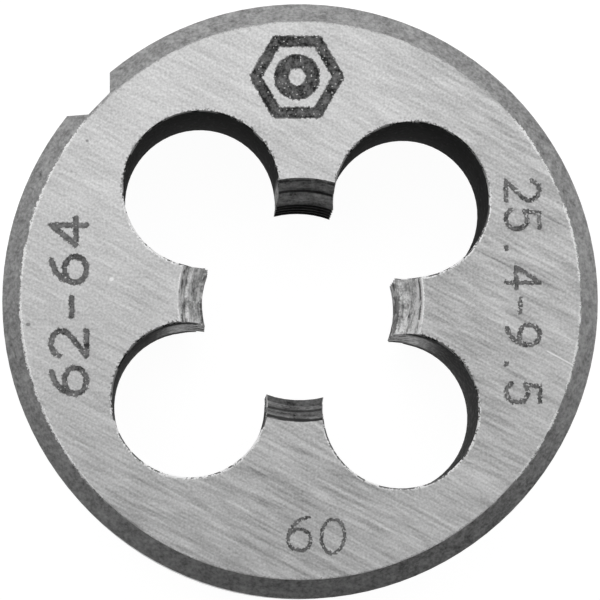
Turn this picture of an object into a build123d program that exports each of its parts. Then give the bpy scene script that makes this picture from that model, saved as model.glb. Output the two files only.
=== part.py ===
"""Solid round threading die for M10 x 1.5, one inch in diameter.

One hardened steel disc. Four chip holes run through it and break into the
threaded bore, which leaves four lands that carry the cutting teeth. Both
faces have a lead cone, so that the teeth start gradually from either side.
The rim has a flat-bottomed V notch for the die stock's centre screw and a
conical seat on either side of it for the clamping screws.

Frame: the origin is the centre of the lower face, +Z points out of the
marked face, and the notch lies between -X and +Y. Millimetres and degrees.
"""

import os
from math import ceil, radians, tan

from build123d import *

# Body
OUTER_DIAMETER = 25.4
THICKNESS = 9.5
RIM_CHAMFER = 0.8

# Thread, metric coarse with a 60 degree profile
THREAD_DIAMETER = 10.0
THREAD_PITCH = 1.5
THREAD_FLANK_ANGLE = 60.0
CREST_SHARE_OF_PITCH = 1 / 4
ROOT_SHARE_OF_PITCH = 1 / 8
ROOT_CLEARANCE = 0.05
THREAD_START_ANGLE = 180.0

# Lead cones, whose mouths are wider than the thread by a clearance all round
LEAD_MOUTH_CLEARANCE = 0.2
LEAD_INCLUDED_ANGLE = 60.0

# Chip holes
CHIP_HOLE_COUNT = 4
CHIP_HOLE_DIAMETER = 6.6
CHIP_HOLE_PITCH_DIAMETER = 12.7
CHIP_HOLE_EDGE_BREAK = 0.06
FIRST_CHIP_HOLE_ANGLE = 42.0

# Notch in the rim
NOTCH_ANGLE = 135.7
NOTCH_FLAT_WIDTH = 1.3
NOTCH_DEPTH = 0.72
NOTCH_INCLUDED_ANGLE = 90.0

# Conical seats for the clamping screws, one on each side of the notch
SEAT_DIAMETER = 3.2
SEAT_INCLUDED_ANGLE = 90.0
SEAT_ANGLE_FROM_NOTCH = 60.0

# How far a cutting solid runs past the surface that it cuts
OVERRUN = 1.0
# A length of thread groove spans this share of the step from land to land.
GROOVE_SHARE_OF_STEP = 0.8

OUTER_RADIUS = OUTER_DIAMETER / 2
THREAD_RADIUS = THREAD_DIAMETER / 2
FLANK_SLOPE = tan(radians(THREAD_FLANK_ANGLE / 2))
FULL_PROFILE_HEIGHT = THREAD_PITCH / 2 / FLANK_SLOPE
# The sharp profile's flanks would meet past the major diameter and past the crests.
SHARP_ROOT_RADIUS = THREAD_RADIUS + FULL_PROFILE_HEIGHT * ROOT_SHARE_OF_PITCH
CREST_RADIUS = SHARP_ROOT_RADIUS - FULL_PROFILE_HEIGHT * (1 - CREST_SHARE_OF_PITCH)


def turned_disc():
    """The blank: a disc with a 45 degree chamfer round both faces."""
    disc = Cylinder(OUTER_RADIUS, THICKNESS, align=(Align.CENTER, Align.CENTER, Align.MIN))
    return chamfer(disc.edges().filter_by(GeomType.CIRCLE), RIM_CHAMFER)


def bore_with_leads():
    """The bore at the thread's crests, opened by a lead cone at each face."""
    mouth_radius = THREAD_RADIUS + LEAD_MOUTH_CLEARANCE
    slope = tan(radians(LEAD_INCLUDED_ANGLE / 2))
    lead_length = (mouth_radius - CREST_RADIUS) / slope
    past_mouth = mouth_radius + OVERRUN * slope
    outline = Polyline(
        (0, -OVERRUN),
        (past_mouth, -OVERRUN),
        (CREST_RADIUS, lead_length),
        (CREST_RADIUS, THICKNESS - lead_length),
        (past_mouth, THICKNESS + OVERRUN),
        (0, THICKNESS + OVERRUN),
        close=True,
    )
    return revolve(Plane.XZ * make_face(outline), Axis.Z)


def half_groove(radius):
    """Half the thread groove's width at a radius."""
    return (SHARP_ROOT_RADIUS - radius) * FLANK_SLOPE


def groove_over_one_land(arc):
    """A short length of the helical groove, centred on +X at height zero."""
    root = THREAD_RADIUS + ROOT_CLEARANCE
    inner = CREST_RADIUS - ROOT_CLEARANCE
    rise = THREAD_PITCH * arc / 360
    profile = Polyline(
        (inner, -half_groove(inner)),
        (root, -half_groove(root)),
        (root, half_groove(root)),
        (inner, half_groove(inner)),
        close=True,
    )
    groove = sweep(Plane.XZ * make_face(profile), Helix(THREAD_PITCH, rise, root), is_frenet=True)
    return Rot(Z=-arc / 2) * Pos(0, 0, -rise / 2) * groove


def thread_grooves():
    """The right-hand groove, land by land. Each length ends inside the chip holes."""
    step = 360 / CHIP_HOLE_COUNT
    groove = groove_over_one_land(step * GROOVE_SHARE_OF_STEP)
    turns = ceil(THICKNESS / THREAD_PITCH) + 1
    lengths = []
    for land in range(CHIP_HOLE_COUNT):
        angle = FIRST_CHIP_HOLE_ANGLE + (land + 0.5) * step
        first = THREAD_PITCH * (((angle - THREAD_START_ANGLE) / 360) % 1 - 1)
        for turn in range(turns + 1):
            lengths.append(Rot(Z=angle) * Pos(0, 0, first + turn * THREAD_PITCH) * groove)
    return lengths


def chip_hole():
    """One chip hole along Z, with a small edge break at both ends."""
    radius = CHIP_HOLE_DIAMETER / 2
    outline = Polyline(
        (0, -OVERRUN),
        (radius + CHIP_HOLE_EDGE_BREAK + OVERRUN, -OVERRUN),
        (radius, CHIP_HOLE_EDGE_BREAK),
        (radius, THICKNESS - CHIP_HOLE_EDGE_BREAK),
        (radius + CHIP_HOLE_EDGE_BREAK + OVERRUN, THICKNESS + OVERRUN),
        (0, THICKNESS + OVERRUN),
        close=True,
    )
    return revolve(Plane.XZ * make_face(outline), Axis.Z)


def chip_holes():
    """The ring of chip holes."""
    step = 360 / CHIP_HOLE_COUNT
    hole = Pos(CHIP_HOLE_PITCH_DIAMETER / 2, 0, 0) * chip_hole()
    return [Rot(Z=FIRST_CHIP_HOLE_ANGLE + index * step) * hole for index in range(CHIP_HOLE_COUNT)]


def rim_notch():
    """The flat-bottomed V across the rim, from face to face."""
    flat_radius = OUTER_RADIUS - NOTCH_DEPTH
    outer = OUTER_RADIUS + OVERRUN
    half_flat = NOTCH_FLAT_WIDTH / 2
    half_mouth = half_flat + (outer - flat_radius) * tan(radians(NOTCH_INCLUDED_ANGLE / 2))
    outline = Polyline(
        (flat_radius, -half_flat),
        (outer, -half_mouth),
        (outer, half_mouth),
        (flat_radius, half_flat),
        close=True,
    )
    cutter = extrude(make_face(outline), THICKNESS)
    return Rot(Z=NOTCH_ANGLE) * cutter


def screw_seats():
    """The conical seats at half height, on either side of the notch."""
    depth = SEAT_DIAMETER / 2 / tan(radians(SEAT_INCLUDED_ANGLE / 2))
    mouth = SEAT_DIAMETER / 2 * (depth + OVERRUN) / depth
    cone = Cone(0, mouth, depth + OVERRUN, align=(Align.CENTER, Align.CENTER, Align.MIN))
    seat = Pos(OUTER_RADIUS - depth, 0, THICKNESS / 2) * Rot(Y=90) * cone
    return [Rot(Z=NOTCH_ANGLE + side * SEAT_ANGLE_FROM_NOTCH) * seat for side in (-1, 1)]


def threading_die():
    """The finished die."""
    die = turned_disc() - bore_with_leads()
    die = die - chip_holes()
    die = die - thread_grooves()
    die = die - rim_notch()
    return die - screw_seats()


os.makedirs("parts", exist_ok=True)
export_step(threading_die(), "parts/threading_die.step")
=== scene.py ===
import math

import bpy
from mathutils import Matrix, Vector, noise


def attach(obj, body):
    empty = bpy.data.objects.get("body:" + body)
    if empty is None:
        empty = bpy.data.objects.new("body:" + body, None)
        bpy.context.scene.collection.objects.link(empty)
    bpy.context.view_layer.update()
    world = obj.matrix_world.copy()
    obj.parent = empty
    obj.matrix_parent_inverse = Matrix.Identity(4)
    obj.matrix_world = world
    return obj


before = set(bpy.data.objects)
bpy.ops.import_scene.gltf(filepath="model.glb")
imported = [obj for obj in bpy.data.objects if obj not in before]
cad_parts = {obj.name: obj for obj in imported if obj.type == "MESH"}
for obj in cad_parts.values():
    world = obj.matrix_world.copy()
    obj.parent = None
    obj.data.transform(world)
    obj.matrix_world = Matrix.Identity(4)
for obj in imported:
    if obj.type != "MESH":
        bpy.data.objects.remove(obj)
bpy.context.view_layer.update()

MM = 0.001

# Sizes of the die, in millimetres, as its solid has them
THICKNESS = 9.5
FACE_RADIUS = 11.9
MOUTH_RADIUS = 5.2
CREST_RADIUS = 4.188
CHIP_HOLE_RADIUS = 3.3
CHIP_HOLE_PITCH_RADIUS = 6.35
FIRST_CHIP_HOLE_ANGLE = math.radians(42.0)
THREAD_PITCH = 1.5
NOTCH_ANGLE = math.radians(135.7)

# How far above or below the thread's axis the chip holes' centres lie, on average
MEAN_HOLE_Y = 4.48

# Between these radii the finish of the holes gives way to that of the rim
HOLE_ZONE_END = 11.0
RIM_ZONE_START = 11.1

# Radius of the dark line painted on the upper and lower lands, painted shade of a thread groove
GROOVE_SHADE_RADIUS = 4.72

# Tones of the finishes, from 0 black to 1 white
GROUND_UPPER_LEFT = 0.585
GROUND_LOWER_RIGHT = 0.555
DARK_SPOT = 0.12
HARDENED_RING = 0.30
TURNED_RIM = 0.42
# Hole walls: painted near-black as painted shade, a little lighter in the lower holes
WALL_SHADE = 0.018
WALL_SHADE_LOW = 0.050
WORN_FLECK = 0.07
WORN_FLECK_LOW = 0.13
RUBBED_FLANK = 0.22
DARKEST_FLANK = 0.03
# Painted light and shade on the teeth: side lands painted bright, upper and lower lands dark, darker still
# deep in the bore
UPPER_LAND_SHADED = 0.36
LOWER_LAND_SHADED = 0.21
UPPER_LAND_DEEP_SHADE = 0.035
LOWER_LAND_DEEP_SHADE = 0.10
LEFT_LAND_LIT = 0.65
RIGHT_LAND_LIT = 0.78
MOUTH_LINE = 0.04
CREST_LINE = 0.05
# Painted shade at the upper edges of the chip holes
BURR_SHADE = 0.10
# Dark outline of the face, painted shade at its top and bottom
FACE_OUTLINE = 0.16
# Burnished wear, and painted glints along the edges
BURNISH_AND_GLINT = 0.95

# Small wear on the upper face, in millimetres: start, end and half width of each mark
SCRATCH = ((10.5, -2.2), (11.6, -2.8), 0.045)
LIGHT_SPOT = ((-8.06, 0.86), (-8.02, 0.88), 0.11)
DARK_SPOTS = (
    ((-11.60, -1.05), (-11.55, -1.05), 0.10),
    ((-9.09, 6.77), (-9.07, 6.77), 0.08),
)

# The grinding lines on the faces run this way. Bump heights are in millimetres
GRIND_ANGLE = math.radians(-27.5)
STEEL_BUMP = 0.004
ETCH_BUMP = 0.005

# Etched marks, in millimetres: grid cell, height above the face and depth below it
ETCH_CELL = 0.035
ETCH_PROUD = 0.004
ETCH_SUNK = 0.020
ETCH_FIGURE_TONE = 0.058
ETCH_NUMBER_TONE = 0.14
ETCH_DARKEST = 0.02
NUT_RADIUS = 1.76
NUT_RING_INNER = 0.60
NUT_RING_OUTER = 0.74

# Camera: distance, tilts and small offsets that give the photograph's view of the marked face
CAMERA_DISTANCE = 240.0
CAMERA_TILT_X = math.radians(-3.14)
CAMERA_TILT_Y = math.radians(1.26)
CAMERA_OFFSET_X = 0.034
CAMERA_OFFSET_Y = 0.013
CAMERA_LENS = 338.9

# Lamps: azimuth, elevation, distance in millimetres, size in millimetres and radiance
LAMPS = {
    "overhead": (95, 68, 100, 92, 1.45),
    "back": (95, 22, 200, 210, 1.2),
    "left": (157, 23, 200, 170, 1.4),
    "right": (21, 23, 200, 170, 1.45),
}
ROOM_GREY = 0.06

# Floor: its size in metres, the tone that lights the die, and the tone and glow that are seen
FLOOR_SIZE = 4.0
FLOOR_LIT = 0.8
FLOOR_SEEN = 0.16
FLOOR_GLOW = 0.965


# ---------------------------------------------------------------- materials

class Graph:
    """Short calls for building one material's nodes."""

    def __init__(self, name):
        self.material = bpy.data.materials.new(name)
        self.material.use_nodes = True
        self.nodes = self.material.node_tree.nodes
        self.links = self.material.node_tree.links
        self.shader = self.nodes["Principled BSDF"]
        self.output = self.nodes["Material Output"]

    def put(self, socket, value):
        if isinstance(value, bpy.types.NodeSocket):
            self.links.new(value, socket)
        else:
            socket.default_value = value

    def millimetres(self):
        """The place on the die, in millimetres."""
        place = self.nodes.new("ShaderNodeTexCoord").outputs["Object"]
        return self.vector("SCALE", place, scale=1.0 / MM)

    def math(self, operation, a, b=0.0):
        node = self.nodes.new("ShaderNodeMath")
        node.operation = operation
        self.put(node.inputs[0], a)
        self.put(node.inputs[1], b)
        return node.outputs[0]

    def less(self, a, b):
        return self.math("SUBTRACT", a, b)

    def rest(self, share):
        return self.less(1.0, share)

    def either(self, a, b):
        return self.math("MAXIMUM", a, b)

    def positive(self, value):
        return self.math("ABSOLUTE", value)

    def off(self, a, b):
        """How far apart a and b are."""
        return self.positive(self.less(a, b))

    def sum(self, *values):
        total = values[0]
        for value in values[1:]:
            total = self.math("ADD", total, value)
        return total

    def times(self, *values):
        total = values[0]
        for value in values[1:]:
            total = self.math("MULTIPLY", total, value)
        return total

    def mix(self, share, a, b):
        """a where share is 0, b where it is 1."""
        node = self.nodes.new("ShaderNodeMix")
        node.data_type = "FLOAT"
        self.put(node.inputs[0], share)
        self.put(node.inputs[2], a)
        self.put(node.inputs[3], b)
        return node.outputs[0]

    def step(self, value, low, high, out_low=0.0, out_high=1.0):
        """Goes smoothly from out_low at low to out_high at high. Low may be above high."""
        node = self.nodes.new("ShaderNodeMapRange")
        node.interpolation_type = "SMOOTHSTEP"
        if low > high:
            low, high, out_low, out_high = high, low, out_high, out_low
        self.put(node.inputs["Value"], value)
        node.inputs["From Min"].default_value = low
        node.inputs["From Max"].default_value = high
        node.inputs["To Min"].default_value = out_low
        node.inputs["To Max"].default_value = out_high
        return node.outputs[0]

    def vector(self, operation, a, b=(0.0, 0.0, 0.0), scale=None):
        node = self.nodes.new("ShaderNodeVectorMath")
        node.operation = operation
        self.put(node.inputs[0], a)
        if operation not in ("LENGTH", "SCALE", "ABSOLUTE"):
            self.put(node.inputs[1], b)
        if scale is not None:
            self.put(node.inputs["Scale"], scale)
        return node.outputs["Value"] if operation in ("LENGTH", "DOT_PRODUCT") else node.outputs[0]

    def split(self, vector):
        node = self.nodes.new("ShaderNodeSeparateXYZ")
        self.put(node.inputs[0], vector)
        return node.outputs[0], node.outputs[1], node.outputs[2]

    def join(self, x, y, z=0.0):
        node = self.nodes.new("ShaderNodeCombineXYZ")
        for socket, value in zip(node.inputs, (x, y, z)):
            self.put(socket, value)
        return node.outputs[0]

    def grey(self, value):
        return self.join(value, value, value)

    def turn(self, vector, angle):
        node = self.nodes.new("ShaderNodeVectorRotate")
        node.rotation_type = "Z_AXIS"
        self.put(node.inputs["Vector"], vector)
        self.put(node.inputs["Angle"], angle)
        return node.outputs[0]

    def noise(self, vector, scale, detail, roughness):
        """Noise from 0 to 1, about 0.5 on average."""
        node = self.nodes.new("ShaderNodeTexNoise")
        self.put(node.inputs["Vector"], vector)
        node.inputs["Scale"].default_value = scale
        node.inputs["Detail"].default_value = detail
        node.inputs["Roughness"].default_value = roughness
        return node.outputs["Fac"]

    def stretched(self, vector, scales, detail, roughness):
        """Noise with its own scale along each axis."""
        return self.noise(self.vector("MULTIPLY", vector, scales), 1.0, detail, roughness)

    def swing(self, noise, amount):
        """Turns noise about 0.5 into a value about 0, from -amount to amount."""
        return self.times(self.less(noise, 0.5), 2.0 * amount)

    def segment(self, point, start, end, radius):
        """1 within a radius of a segment in the plane, fading to 0 at its edge."""
        (ax, ay), (bx, by) = start, end
        length = math.hypot(bx - ax, by - ay)
        way = ((bx - ax) / length, (by - ay) / length, 0.0)
        offset = self.vector("SUBTRACT", point, (ax, ay, 0.0))
        along = self.vector("DOT_PRODUCT", offset, way)
        held = self.math("MINIMUM", self.either(along, 0.0), length)
        foot = self.vector("SCALE", way, scale=held)
        gap = self.vector("LENGTH", self.vector("SUBTRACT", offset, foot))
        return self.step(gap, radius, radius * 0.4)

    def bump(self, height, distance):
        node = self.nodes.new("ShaderNodeBump")
        node.inputs["Strength"].default_value = 1.0
        node.inputs["Distance"].default_value = distance
        self.put(node.inputs["Height"], height)
        return node.outputs[0]


class DieSteel(Graph):
    """The die's one material. Each finish is held to its place on the die, in millimetres."""

    def __init__(self):
        super().__init__("die_steel")
        self.find_place()
        self.find_finishes()
        self.make_noises()
        self.find_edges()
        self.paint()
        self.polish()

    def find_place(self):
        """Where a point is. Depth is below the nearer face, sideways is 1 at the left and the right."""
        self.mm = self.millimetres()
        self.x, self.y, self.z = self.split(self.mm)
        self.flat = self.join(self.x, self.y)
        self.radius = self.vector("LENGTH", self.flat)
        self.turnwise = self.math("ARCTAN2", self.y, self.x)
        self.down_right = self.less(self.x, self.y)
        self.sideways = self.math("DIVIDE", self.positive(self.x), self.radius)
        self.depth = self.less(THICKNESS / 2, self.off(self.z, THICKNESS / 2))

        # Distance from the nearest chip hole's axis: the four quarters are folded onto one
        across, up, _ = self.split(self.vector("ABSOLUTE", self.turn(self.flat, -FIRST_CHIP_HOLE_ANGLE)))
        along = self.less(self.either(across, up), CHIP_HOLE_PITCH_RADIUS)
        self.from_hole = self.vector("LENGTH", self.join(along, self.math("MINIMUM", across, up)))

        # 1 at the upper side of each chip hole, 0 at its lower side
        centre = self.times(self.math("SIGN", self.y), MEAN_HOLE_Y)
        self.above_hole = self.step(self.less(self.y, centre), -0.5, 1.0)

    def find_finishes(self):
        """Where each finish is, 1 inside and 0 outside."""
        normal = self.nodes.new("ShaderNodeNewGeometry").outputs["True Normal"]
        up = self.positive(self.split(normal)[2])
        self.level = self.step(up, 0.9, 0.97)
        sloping = self.rest(self.level)
        upright = self.step(up, 0.5, 0.3)
        outside = self.times(self.step(self.radius, HOLE_ZONE_END, RIM_ZONE_START), sloping)
        self.rim = self.times(outside, upright)
        self.ring = self.less(outside, self.rim)

        # The holes' finish is narrower on the lead cone, so that it doesn't cover the teeth
        narrower = self.step(self.radius, 5.4, 5.25, 0.0, 0.07)
        in_hole = self.sum(self.from_hole, narrower)
        in_hole = self.step(in_hole, CHIP_HOLE_RADIUS + 0.12, CHIP_HOLE_RADIUS + 0.08)
        inside = self.step(self.radius, RIM_ZONE_START, HOLE_ZONE_END)
        self.in_hole = self.times(in_hole, inside, sloping)
        self.wall = self.times(self.in_hole, upright)
        self.hole_edge = self.less(self.in_hole, self.wall)
        in_bore = self.step(self.radius, MOUTH_RADIUS + 0.12, MOUTH_RADIUS + 0.06)
        self.teeth = self.times(in_bore, self.rest(self.in_hole), sloping)

    def make_noises(self):
        """Noises that several finishes share."""
        along = self.turn(self.mm, -GRIND_ANGLE)
        self.lines = self.stretched(along, (0.34, 3.9, 1.0), 2.0, 0.5)
        self.fine = self.stretched(along, (0.7, 6.5, 1.0), 1.0, 0.5)
        self.cloud = self.noise(self.mm, 0.35, 2.0, 0.5)
        self.gaps = self.noise(self.mm, 1.3, 2.0, 0.6)
        self.coarse = self.noise(self.mm, 2.2, 3.0, 0.65)
        self.grain = self.noise(self.mm, 7.0, 2.0, 0.6)
        self.flecks = self.noise(self.mm, 10.0, 1.5, 0.5)
        round_rim = self.join(self.times(self.x, 0.1), self.times(self.y, 0.1), self.times(self.z, 5.0))
        self.turned = self.noise(round_rim, 1.0, 3.0, 0.7)

    def find_edges(self):
        """Lines, burr and specks along the edges, most of them painted glints and shade, 1 inside and 0
        outside.
        """
        to_side = self.step(self.sideways, 0.6, 0.85)
        rough_edge = self.sum(self.flecks, self.swing(self.gaps, 1.1))
        self.ragged = self.step(rough_edge, 0.44, 0.56)

        # Painted glints: bright lips along the face's edge and the mouth, on both sides
        face_glint = self.sum(self.off(self.radius, FACE_RADIUS), self.swing(self.flecks, 0.14))
        face_glint = self.times(self.step(face_glint, 0.060, 0.03), self.step(rough_edge, 0.30, 0.44))
        mouth_glint = self.sum(self.off(MOUTH_RADIUS, self.radius), self.swing(self.flecks, 0.10))
        mouth_glint = self.times(self.step(mouth_glint, 0.07, 0.04), self.step(self.gaps, 0.36, 0.44))
        self.glint_lip = self.times(self.either(face_glint, mouth_glint), to_side, self.rest(self.in_hole))

        # Painted shade as dark burr at the upper side of each chip hole, painted glints as bright specks at
        # its lower side
        shaded_burr = self.sum(self.from_hole, self.swing(self.flecks, 0.20), self.swing(self.coarse, 0.12))
        shaded_burr = self.step(shaded_burr, CHIP_HOLE_RADIUS + 0.10, CHIP_HOLE_RADIUS + 0.06)
        self.shaded_burr = self.times(shaded_burr, self.step(self.radius, 9.9, 9.4), self.level, self.above_hole)
        glint_speck = self.sum(self.from_hole, self.swing(self.flecks, 0.10))
        glint_speck = self.step(glint_speck, CHIP_HOLE_RADIUS + 0.14, CHIP_HOLE_RADIUS + 0.10)
        here_and_there = self.step(self.sum(self.coarse, self.swing(self.flecks, 0.5)), 0.47, 0.55)
        self.glint_speck = self.times(
            glint_speck, self.step(self.radius, 10.2, 9.8), self.level, self.rest(self.above_hole), here_and_there
        )

        # Dark outline of the face at the top, the bottom and the notch; at the top and the bottom it is
        # painted shade
        shaded_face_edge = self.sum(self.radius, self.swing(self.flecks, 0.14), self.swing(self.coarse, 0.08))
        shaded_face_edge = self.step(shaded_face_edge, FACE_RADIUS - 0.06, FACE_RADIUS - 0.02)
        self.shaded_face_edge = self.times(shaded_face_edge, self.level, self.rest(to_side))
        to_notch = (math.cos(NOTCH_ANGLE), math.sin(NOTCH_ANGLE), 0.0)
        notch_line = self.sum(self.vector("DOT_PRODUCT", self.flat, to_notch), self.swing(self.flecks, 0.12))
        notch_line = self.step(notch_line, FACE_RADIUS - 0.04, FACE_RADIUS + 0.01)
        self.notch_line = self.times(notch_line, self.level)

    def ground_tone(self):
        """Ground faces: the lines are shallow where the wheel ran in, deeper to the lower right."""
        run_in = self.step(self.down_right, -12.0, 9.0)
        right_side = self.times(self.step(self.x, 3.0, 6.5), self.step(self.y, -8.5, -5.0))
        ground = self.sum(
            self.mix(run_in, GROUND_UPPER_LEFT, GROUND_LOWER_RIGHT),
            self.step(self.down_right, 8.0, 16.0, 0.015, 0.09),
            self.times(self.swing(self.lines, 0.20), self.mix(run_in, 0.35, 1.0)),
            self.times(self.swing(self.fine, 0.26), self.mix(run_in, 0.55, 1.0)),
            self.swing(self.flecks, 0.24),
            self.swing(self.cloud, 0.05),
            self.times(right_side, -0.05),
        )
        light = self.either(self.segment(self.flat, *SCRATCH), self.segment(self.flat, *LIGHT_SPOT))
        dark = self.either(*[self.segment(self.flat, *spot) for spot in DARK_SPOTS])
        ground = self.mix(self.times(light, 0.7), ground, BURNISH_AND_GLINT)
        return self.mix(self.times(dark, 0.7), ground, DARK_SPOT)

    def ring_tone(self):
        """Hardened chamfer: matt and grainy, lighter at the right and darker at the lower right."""
        right = self.times(self.step(self.x, 7.0, 12.0), self.step(self.positive(self.y), 6.0, 2.0))
        lower_right = self.times(self.step(self.x, 1.0, 5.0), self.step(self.y, -5.0, -8.5))
        return self.sum(
            HARDENED_RING, self.swing(self.grain, 0.22), self.swing(self.coarse, 0.22),
            self.times(right, 0.045), self.times(lower_right, -0.05),
        )

    def rim_tone(self):
        """Rim: fine lines round it."""
        return self.sum(TURNED_RIM, self.swing(self.turned, 0.22), self.swing(self.grain, 0.06))

    def wall_tone(self):
        """Chip hole walls: painted near-black as painted shade, a little lighter in the lower holes, worn
        grey in flecks, and rubbed beside three of the lands.
        """
        self.low = self.step(self.y, 0.5, -2.5)
        drawn = self.stretched(self.mm, (5.0, 5.0, 1.1), 2.0, 0.6)
        by_land = self.times(
            self.step(self.radius, 7.0, 5.2), self.step(self.y, 0.5, -1.0),
            self.step(self.positive(self.x), 2.2, 3.2), self.step(self.depth, 0.6, 2.2),
        )
        corner = self.times(
            self.step(self.radius, 5.5, 5.0), self.step(self.y, 2.0, 3.0),
            self.step(self.x, 0.5, -0.5), self.step(self.depth, 0.2, 0.8),
        )
        self.rubbed = self.either(by_land, corner)
        worn = self.sum(drawn, self.times(self.low, 0.07), self.times(self.rubbed, 0.16))
        self.worn = self.step(worn, 0.50, 0.84)
        flank = self.sum(RUBBED_FLANK, self.swing(self.coarse, 0.26), self.swing(self.flecks, 0.22))
        flank = self.either(flank, DARKEST_FLANK)
        worn_tone = self.mix(self.rubbed, self.mix(self.low, WORN_FLECK, WORN_FLECK_LOW), flank)
        # Painted shade: the walls near-black, a little lighter in the lower holes
        scale = self.sum(self.mix(self.low, WALL_SHADE, WALL_SHADE_LOW), self.swing(self.coarse, 0.02))
        return self.mix(self.worn, scale, worn_tone)

    def edge_tone(self):
        """Broken edge of the chip holes, in ragged flecks: painted glints at the lower side, painted shade
        at the upper side.
        """
        lower = self.mix(self.ragged, 0.14, 0.92)
        upper = self.mix(self.ragged, 0.03, 0.30)
        return self.mix(self.above_hole, lower, upper)

    def land_tone(self):
        """Cutting teeth, with painted light and shade: side lands painted bright, upper and lower ones dark,
        and darker deep down the bore as painted shade.
        """
        side = self.step(self.sideways, 0.45, 0.8)
        above = self.step(self.y, -2.0, 2.0)
        self.deep = self.step(self.depth, 1.4, 2.0)
        middle = self.mix(
            self.deep,
            self.mix(above, LOWER_LAND_SHADED, UPPER_LAND_SHADED),
            self.mix(above, LOWER_LAND_DEEP_SHADE, UPPER_LAND_DEEP_SHADE),
        )
        land = self.mix(side, middle, self.step(self.x, -3.0, 3.0, LEFT_LAND_LIT, RIGHT_LAND_LIT))
        chatter = self.join(
            self.times(self.radius, 4.5), self.times(self.z, 3.5), self.times(self.turnwise, 5.0)
        )
        chatter = self.noise(chatter, 1.0, 2.0, 0.55)
        marks = (self.swing(self.coarse, 1.3), self.swing(self.flecks, 0.7), self.swing(chatter, 1.2))
        land = self.times(land, self.sum(1.05, *marks))

        # Painted shade: dark thread roots, and a dark line round the upper and lower lands where a thread
        # groove crosses them
        turns = self.math("DIVIDE", self.turnwise, 2.0 * math.pi)
        phase = self.math("FRACT", self.less(self.math("DIVIDE", self.z, THREAD_PITCH), turns))
        root = self.step(self.sum(self.off(phase, 0.5), self.swing(self.coarse, 0.06)), 0.12, 0.04)
        groove_shade = self.times(self.step(self.off(self.radius, GROOVE_SHADE_RADIUS), 0.08, 0.03), self.rest(side))
        land = self.times(land, self.rest(self.times(self.either(root, groove_shade), 0.8)))

        # Broken dark lines just inside the mouth and along the crests of the side lands
        inside = self.less(MOUTH_RADIUS, self.radius)
        mouth = self.times(self.step(self.off(inside, 0.10), 0.06, 0.02), self.step(self.gaps, 0.44, 0.52))
        land = self.mix(self.times(mouth, 0.8), land, MOUTH_LINE)
        crest = self.sum(self.radius, self.swing(self.flecks, 0.06))
        crest = self.step(crest, CREST_RADIUS + 0.132, CREST_RADIUS + 0.062)
        crest = self.times(crest, side, self.step(self.gaps, 0.44, 0.54))
        return self.mix(self.times(crest, 0.75), land, CREST_LINE)

    def lay(self, value, *layers):
        """Lays each (share, value) over what is below it."""
        for share, over in layers:
            value = self.mix(share, value, over)
        return value

    def paint(self):
        """The tones of all the finishes, with their painted light and shade, laid over the ground faces."""
        tone = self.lay(
            self.ground_tone(),
            # Painted shade as burr at the holes' upper edges and as the face's outline, painted glints as
            # specks at the holes' lower edges
            (self.times(self.shaded_burr, 0.8), BURR_SHADE),
            (self.times(self.glint_speck, 0.9), BURNISH_AND_GLINT),
            (self.times(self.shaded_face_edge, 0.6), FACE_OUTLINE),
            (self.times(self.notch_line, 0.8), FACE_OUTLINE),
            (self.ring, self.ring_tone()),
            (self.rim, self.rim_tone()),
            # Painted shade: the chip hole walls near-black
            (self.wall, self.wall_tone()),
            (self.hole_edge, self.edge_tone()),
            # Painted light and shade on the teeth
            (self.teeth, self.land_tone()),
            # Painted glints along the face's edge and the mouth
            (self.glint_lip, BURNISH_AND_GLINT),
        )
        self.put(self.shader.inputs["Base Color"], self.grey(tone))

    def polish(self):
        """How metallic and how rough each finish is, and its bump."""
        metal = self.lay(
            0.6,
            (self.ring, 0.1),
            (self.rim, 0.7),
            (self.wall, self.either(self.times(self.rubbed, self.worn, 0.9), self.times(self.low, 0.6))),
            (self.hole_edge, 0.1),
            (self.teeth, self.mix(self.deep, 0.4, 0.0)),
            (self.glint_lip, 0.2),
        )
        rough = self.lay(
            self.sum(0.36, self.swing(self.lines, 0.08)),
            (self.ring, 0.62),
            (self.rim, self.sum(0.34, self.swing(self.turned, 0.12))),
            (self.wall, self.mix(self.rubbed, 0.95, 0.45)),
            (self.hole_edge, 0.5),
            (self.teeth, self.mix(self.deep, 0.42, 0.9)),
        )
        height = self.mix(
            self.level, self.mix(self.rim, self.grain, self.turned), self.sum(self.lines, self.fine)
        )
        self.put(self.shader.inputs["Metallic"], metal)
        self.put(self.shader.inputs["Roughness"], rough)
        self.shader.inputs["Specular IOR Level"].default_value = 0.1
        self.put(self.shader.inputs["Normal"], self.bump(height, STEEL_BUMP * MM))


# ---------------------------------------------------------------- etched marks

def arc(x, y, rx, ry, start, end, count=18):
    """Points along part of an ellipse, from one angle in degrees to another."""
    angles = [math.radians(start + (end - start) * i / count) for i in range(count + 1)]
    return [(x + rx * math.cos(a), y + ry * math.sin(a)) for a in angles]


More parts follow.
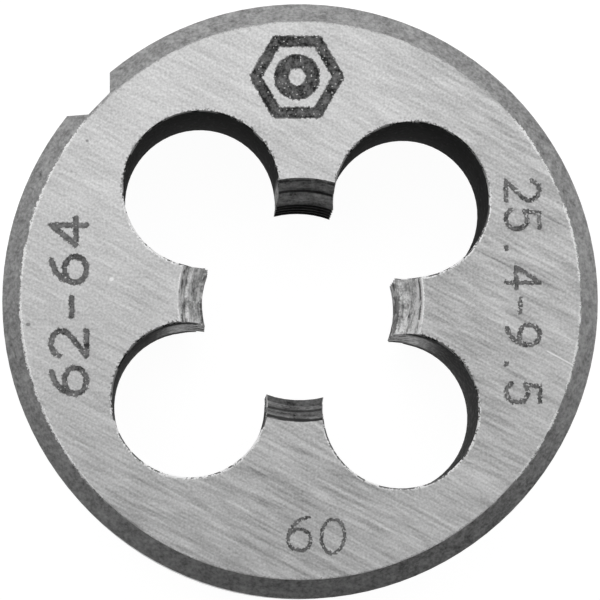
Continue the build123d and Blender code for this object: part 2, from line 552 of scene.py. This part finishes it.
# Plain figures, drawn by strokes in a box FIGURE_WIDTH wide and 1 high
FIGURE_WIDTH = 0.6
FIGURE_STEP = 0.86
SIX = [
    arc(0.30, 0.31, 0.30, 0.31, 0, 360),
    [(0.50, 0.98), (0.28, 0.90), (0.10, 0.70), (0.01, 0.48), (0.0, 0.31)],
]
FIGURES = {
    "0": [arc(0.30, 0.50, 0.30, 0.50, 0, 360, 24)],
    "2": [arc(0.30, 0.70, 0.29, 0.30, 165, -38) + [(0.02, 0.0), (0.60, 0.0)]],
    "4": [[(0.46, 0.0), (0.46, 1.0), (0.0, 0.30), (0.62, 0.30)]],
    "5": [[(0.56, 1.0), (0.12, 1.0), (0.06, 0.55)] + arc(0.28, 0.32, 0.31, 0.32, 130, -150)],
    "6": SIX,
    "9": [[(FIGURE_WIDTH - x, 1.0 - y) for x, y in stroke] for stroke in SIX],
    "-": [[(0.08, 0.42), (0.50, 0.42)]],
    ".": [[(0.28, 0.0), (0.32, 0.0)]],
}


def number(text, length, height):
    """The strokes of a plain number, centred, that is so long and so high in millimetres."""
    whole = FIGURE_STEP * (len(text) - 1) + FIGURE_WIDTH
    strokes = []
    for place, figure in enumerate(text):
        start = place * FIGURE_STEP
        for stroke in FIGURES[figure]:
            strokes.append([
                ((start + x - whole / 2) * length / whole, (y - 0.5) * height) for x, y in stroke
            ])
    return strokes


def distances(strokes, reach):
    """How far each grid cell is from the nearest stroke, for the cells within reach of one."""
    def cells(a, b):
        low, high = (math.floor(v / ETCH_CELL) for v in (min(a, b) - reach, max(a, b) + reach))
        return range(low, high + 1)

    near = {}
    for stroke in strokes:
        for (ax, ay), (bx, by) in zip(stroke, stroke[1:]):
            square = max((bx - ax) ** 2 + (by - ay) ** 2, 1e-12)
            for i in cells(ax, bx):
                for j in cells(ay, by):
                    x, y = (i + 0.5) * ETCH_CELL - ax, (j + 0.5) * ETCH_CELL - ay
                    t = min(max((x * (bx - ax) + y * (by - ay)) / square, 0.0), 1.0)
                    gap = math.hypot(x - t * (bx - ax), y - t * (by - ay))
                    if gap < near.get((i, j), reach):
                        near[i, j] = gap
    return near


def without_corner_contacts(cells):
    """Fills in beside each pair of cells that touch only at a corner, so that the mesh stays clean."""
    cells = set(cells)
    found = True
    while found:
        found = []
        for i, j in cells:
            for up in (1, -1):
                right, beside = (i + 1, j), (i, j + up)
                if (i + 1, j + up) in cells and right not in cells and beside not in cells:
                    found.append(right if up == 1 else beside)
        cells.update(found)
    return cells


def etched_cells(near, half, seed, ragged, specks):
    """The cells of a mark: noise makes its edge ragged and leaves specks of it bare."""
    cells = set()
    for (i, j), gap in near.items():
        spot = Vector((i * ETCH_CELL, j * ETCH_CELL, seed))
        edge = gap + ragged * 2.0 * noise.noise(spot * 7.0) + ragged * noise.noise(spot * 17.0)
        if edge < half and noise.noise(spot * 11.0 + Vector((0.0, 0.0, 9.0))) < specks:
            cells.add((i, j))
    return without_corner_contacts(cells)


def etch(name, material, strokes, width, centre, degrees, seed, ragged, specks):
    """A dark etched mark on the upper face, as one thin closed mesh with a ragged edge."""
    half = width / 2
    near = distances(strokes, half + 2.0 * ragged)
    cells = etched_cells(near, half, seed, ragged, specks)
    turn = Matrix.Rotation(math.radians(degrees), 3, "Z")
    middle = Vector((centre[0], centre[1], THICKNESS))
    points, index, faces, core = [], {}, [], []

    def corner(i, j, top):
        key = (i, j, top)
        if key not in index:
            place = turn @ Vector((i * ETCH_CELL, j * ETCH_CELL, 0.0)) + middle
            place.z += ETCH_PROUD if top else -ETCH_SUNK
            index[key] = len(points)
            points.append(place * MM)
            gaps = [near.get((i - a, j - b), half) for a in (0, 1) for b in (0, 1)]
            core.append(1.0 - min(sum(gaps) / 4 / half, 1.0))
        return index[key]

    for i, j in sorted(cells):
        ring = [(i, j), (i + 1, j), (i + 1, j + 1), (i, j + 1)]
        beside = [(i, j - 1), (i + 1, j), (i, j + 1), (i - 1, j)]
        faces.append([corner(a, b, True) for a, b in ring])
        faces.append([corner(a, b, False) for a, b in reversed(ring)])
        for (a, b), (c, d), neighbour in zip(ring, ring[1:] + ring[:1], beside):
            if neighbour not in cells:
                side = ((a, b, False), (c, d, False), (c, d, True), (a, b, True))
                faces.append([corner(*point) for point in side])
    mesh = bpy.data.meshes.new(name)
    mesh.from_pydata(points, [], faces)
    mesh.attributes.new("core", "FLOAT", "POINT").data.foreach_set("value", core)
    mesh.materials.append(material)
    piece = bpy.data.objects.new(name, mesh)
    bpy.context.scene.collection.objects.link(piece)
    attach(piece, "root")


def etched_steel(name, darkest):
    """Dark grey etched metal, mottled, and lighter at the edge and along the middle of each stroke."""
    g = Graph(name)
    mm = g.millimetres()
    attribute = g.nodes.new("ShaderNodeAttribute")
    attribute.attribute_name = "core"
    core = attribute.outputs["Fac"]
    patches = g.noise(mm, 2.4, 1.0, 0.5)
    mottle = g.noise(mm, 6.0, 2.0, 0.6)
    fine = g.noise(mm, 13.0, 1.0, 0.5)
    tone = g.sum(
        darkest, g.swing(patches, 0.16), g.swing(mottle, 0.13), g.swing(fine, 0.13),
        g.times(core, 0.07), g.step(core, 0.24, 0.04, 0.0, 0.14),
    )
    g.put(g.shader.inputs["Base Color"], g.grey(g.either(tone, ETCH_DARKEST)))
    g.put(g.shader.inputs["Roughness"], g.sum(0.65, g.swing(mottle, 0.15)))
    g.shader.inputs["Metallic"].default_value = 0.3
    g.shader.inputs["Specular IOR Level"].default_value = 0.2
    g.put(g.shader.inputs["Normal"], g.bump(fine, ETCH_BUMP * MM))
    return g.material


def make_marks():
    """Plain generic marks: a hexagon with a ring in it, and three numbers."""
    nut = [
        arc(0.0, 0.0, NUT_RADIUS, NUT_RADIUS, 0, 360, 6),
        arc(0.0, 0.0, NUT_RING_INNER, NUT_RING_INNER, 0, 360, 24),
        arc(0.0, 0.0, NUT_RING_OUTER, NUT_RING_OUTER, 0, 360, 30),
    ]
    figure_steel = etched_steel("etched_steel_dark", ETCH_FIGURE_TONE)
    number_steel = etched_steel("etched_steel", ETCH_NUMBER_TONE)
    etch("etched_figure", figure_steel, nut,
         width=0.50, centre=(-0.15, 9.5), degrees=0, seed=1.0, ragged=0.03, specks=0.52)
    etch("etched_number_left", number_steel, number("62-64", 7.42, 1.50),
         width=0.26, centre=(-9.85, -0.285), degrees=90, seed=2.0, ragged=0.040, specks=0.52)
    etch("etched_number_right", number_steel, number("25.4-9.5", 9.48, 1.42),
         width=0.21, centre=(9.45, 0.35), degrees=-90, seed=3.0, ragged=0.035, specks=0.32)
    etch("etched_number_bottom", number_steel, number("60", 2.38, 1.47),
         width=0.155, centre=(0.65, -9.98), degrees=-5, seed=4.0, ragged=0.035, specks=0.30)


# ---------------------------------------------------------------- stage

def make_camera():
    turn = Matrix.Rotation(CAMERA_TILT_Y, 3, "Y") @ Matrix.Rotation(CAMERA_TILT_X, 3, "X")
    back = turn.transposed()
    place = back @ Vector((-CAMERA_OFFSET_X, -CAMERA_OFFSET_Y, CAMERA_DISTANCE))
    place += Vector((0.0, 0.0, THICKNESS))
    data = bpy.data.cameras.new("camera")
    data.lens = CAMERA_LENS
    data.sensor_width = 36.0
    data.clip_start = 0.01
    data.clip_end = 10.0
    camera = bpy.data.objects.new("camera", data)
    camera.matrix_world = Matrix.Translation(place * MM) @ back.to_4x4()
    bpy.context.scene.collection.objects.link(camera)
    bpy.context.scene.camera = camera


def softbox(name, azimuth, elevation, distance, size, radiance):
    """A square area lamp that faces the die. Azimuth 0 is +X and 90 is +Y."""
    data = bpy.data.lights.new(name, "AREA")
    data.shape = "SQUARE"
    data.size = size * MM
    data.energy = radiance * math.pi * (size * MM) ** 2
    lamp = bpy.data.objects.new(name, data)
    a, e = math.radians(azimuth), math.radians(elevation)
    way = Vector((math.cos(a) * math.cos(e), math.sin(a) * math.cos(e), math.sin(e)))
    lamp.location = Vector((0.0, 0.0, THICKNESS * MM)) + way * distance * MM
    lamp.rotation_mode = "QUATERNION"
    lamp.rotation_quaternion = way.to_track_quat("Z", "Y")
    lamp.visible_camera = False
    bpy.context.scene.collection.objects.link(lamp)


def opaque(grey):
    return (grey, grey, grey, 1.0)


def make_world():
    world = bpy.data.worlds.new("world")
    bpy.context.scene.world = world
    world.use_nodes = True
    world.node_tree.nodes["Background"].inputs["Color"].default_value = opaque(ROOM_GREY)


def make_floor():
    """A pale floor that lights the die, seen directly or mirrored as white paper with its shadow."""
    bpy.ops.mesh.primitive_plane_add(size=FLOOR_SIZE, location=(0, 0, 0))
    floor = bpy.context.object
    floor.name = "floor"
    g = Graph("floor")
    g.shader.inputs["Base Color"].default_value = opaque(FLOOR_LIT)
    g.shader.inputs["Roughness"].default_value = 1.0
    g.shader.inputs["Specular IOR Level"].default_value = 0.0
    path = g.nodes.new("ShaderNodeLightPath")
    seen = g.either(path.outputs["Is Camera Ray"], path.outputs["Is Glossy Ray"])
    seen = g.either(seen, path.outputs["Is Transmission Ray"])
    paper = g.nodes.new("ShaderNodeBsdfDiffuse")
    paper.inputs["Color"].default_value = opaque(FLOOR_SEEN)
    glow = g.nodes.new("ShaderNodeEmission")
    glow.inputs["Strength"].default_value = FLOOR_GLOW
    add = g.nodes.new("ShaderNodeAddShader")
    g.put(add.inputs[0], paper.outputs[0])
    g.put(add.inputs[1], glow.outputs[0])
    mix = g.nodes.new("ShaderNodeMixShader")
    g.put(mix.inputs["Fac"], seen)
    g.put(mix.inputs[1], g.shader.outputs[0])
    g.put(mix.inputs[2], add.outputs[0])
    g.put(g.output.inputs[0], mix.outputs[0])
    floor.data.materials.append(g.material)


make_camera()
make_world()
make_floor()
for lamp_name, lamp_values in LAMPS.items():
    softbox(lamp_name, *lamp_values)
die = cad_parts["threading_die"]
die.data.materials.clear()
die.data.materials.append(DieSteel().material)
make_marks()
bpy.context.scene.view_settings.view_transform = "Standard"
